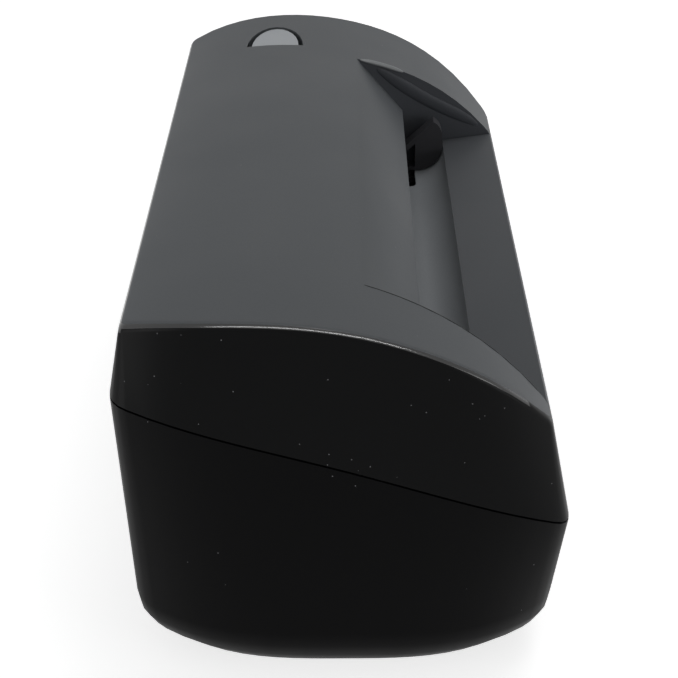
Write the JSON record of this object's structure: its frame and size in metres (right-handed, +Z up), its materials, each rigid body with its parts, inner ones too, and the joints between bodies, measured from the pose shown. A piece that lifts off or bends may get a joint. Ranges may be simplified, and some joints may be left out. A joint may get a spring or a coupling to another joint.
{
  "type": "sheet-fed photo scanner",
  "caption": "Compact sheet-fed photo scanner: domed hinged cover with a wide feed bay, sliding edge guide, push button, geared rollers and sprung image sensor.",
  "frame": {"origin": "on the surface the feet stand on, under the middle of the bounding box", "axes": "+X along the length towards the button end, -Y towards the feed side, +Z up"},
  "size_m": [0.163, 0.0804, 0.0776],
  "materials": {
    "top_grey": "fine matte texture",
    "tray_grey": "fine matte texture",
    "black_plastic": "satin",
    "dark_plastic": "satin",
    "button_grey": "satin",
    "white_plastic": "satin",
    "gear_white": "satin",
    "rubber": "matte",
    "steel": "satin",
    "brass": "satin",
    "glass": "polished",
    "board_green": "satin",
    "motor_metal": "satin"
  },
  "bodies": {
    "case": {"button_board": "board_green", "button_switch": "dark_plastic", "case_screw_1": "steel", "case_screw_2": "steel", "case_screw_3": "steel", "case_screw_4": "steel", "chassis": "dark_plastic", "control_chip": "dark_plastic", "exit_bush_left": "white_plastic", "exit_bush_right": "white_plastic", "feed_bush_left": "white_plastic", "feed_bush_right": "white_plastic", "flag_sensor": "dark_plastic", "foot_back_left": "rubber", "foot_back_right": "rubber", "foot_front_left": "rubber", "foot_front_right": "rubber", "hinge_pin_left": "steel", "hinge_pin_right": "steel", "idler_pin": "steel", "lower_case": "black_plastic", "main_board": "board_green", "motor_body": "motor_metal", "motor_screw_1": "steel", "motor_screw_2": "steel", "paper_bed": "black_plastic", "reduction_pin": "steel", "sensor_glass": "glass", "sensor_housing": "black_plastic", "sensor_ribbon": "white_plastic", "sensor_spring_left": "steel", "sensor_spring_right": "steel", "usb_socket": "motor_metal"},
    "cover": {"upper_cover": "top_grey", "feed_tray": "tray_grey", "upper_guide": "black_plastic", "platen": "white_plastic", "tray_screw_1": "steel", "tray_screw_2": "steel", "guide_screw_1": "steel", "guide_screw_2": "steel", "guide_screw_3": "steel", "guide_screw_4": "steel"},
    "feed_roller": {"feed_shaft": "steel", "feed_roll": "rubber", "feed_gear": "gear_white"},
    "exit_roller": {"exit_shaft": "steel", "exit_roll": "rubber", "exit_gear": "gear_white"},
    "idler": {"idler_gear": "gear_white"},
    "reduction": {"reduction_gear": "gear_white"},
    "motor_rotor": {"motor_shaft": "steel", "motor_pinion": "brass"},
    "feed_pinch": {"feed_pinch_roller": "white_plastic"},
    "exit_pinch": {"exit_pinch_roller": "white_plastic"},
    "flag": {"paper_flag": "black_plastic"},
    "side_guide": {"edge_guide": "dark_plastic"},
    "scan_button": {"button_cap": "button_grey", "button_stem": "black_plastic"}
  },
  "joints": [
    {"name": "cover_hinge", "type": "hinge", "parent": "case", "child": "cover", "pos_m": [0, 0.0384, 0.0649], "axis": [-1, 0, 0], "range_deg": [0, 95]},
    {"name": "feed_spin", "type": "hinge", "parent": "case", "child": "feed_roller", "pos_m": [0, -0.0033, 0.0408], "axis": [1, 0, 0], "continuous": true},
    {"name": "exit_spin", "type": "hinge", "parent": "case", "child": "exit_roller", "pos_m": [0, 0.0267, 0.0408], "axis": [1, 0, 0], "continuous": true},
    {"name": "idler_spin", "type": "hinge", "parent": "case", "child": "idler", "pos_m": [0, 0.0117, 0.0408], "axis": [1, 0, 0], "continuous": true},
    {"name": "reduction_spin", "type": "hinge", "parent": "case", "child": "reduction", "pos_m": [0, -0.00978, 0.02953], "axis": [1, 0, 0], "continuous": true},
    {"name": "motor_spin", "type": "hinge", "parent": "case", "child": "motor_rotor", "pos_m": [0, -0.00128, 0.01481], "axis": [1, 0, 0], "continuous": true},
    {"name": "feed_pinch_spin", "type": "hinge", "parent": "cover", "child": "feed_pinch", "pos_m": [0, -0.0033, 0.0512], "axis": [1, 0, 0], "continuous": true},
    {"name": "exit_pinch_spin", "type": "hinge", "parent": "cover", "child": "exit_pinch", "pos_m": [0, 0.0267, 0.0512], "axis": [1, 0, 0], "continuous": true},
    {"name": "flag_swing", "type": "hinge", "parent": "case", "child": "flag", "pos_m": [0.0461, -0.0098, 0.0413], "axis": [-1, 0, 0], "range_deg": [0, 35]},
    {"name": "guide_slide", "type": "slide", "parent": "cover", "child": "side_guide", "axis": [-1, 0, 0], "range_m": [0, 0.0096]},
    {"name": "button_press", "type": "slide", "parent": "cover", "child": "scan_button", "axis": [0, 0, -1], "range_m": [0, 0.0006], "stiffness_N_per_m": 800, "springref_m": -0.0006}
  ],
  "couplings": [
    {"joint": "idler_spin", "follows": "feed_spin", "ratio": -1.1429},
    {"joint": "exit_spin", "follows": "feed_spin", "ratio": 1},
    {"joint": "reduction_spin", "follows": "feed_spin", "ratio": -1.6},
    {"joint": "motor_spin", "follows": "feed_spin", "ratio": 3.84},
    {"joint": "feed_pinch_spin", "follows": "feed_spin", "ratio": -1.5},
    {"joint": "exit_pinch_spin", "follows": "feed_spin", "ratio": -1.5}
  ]
}
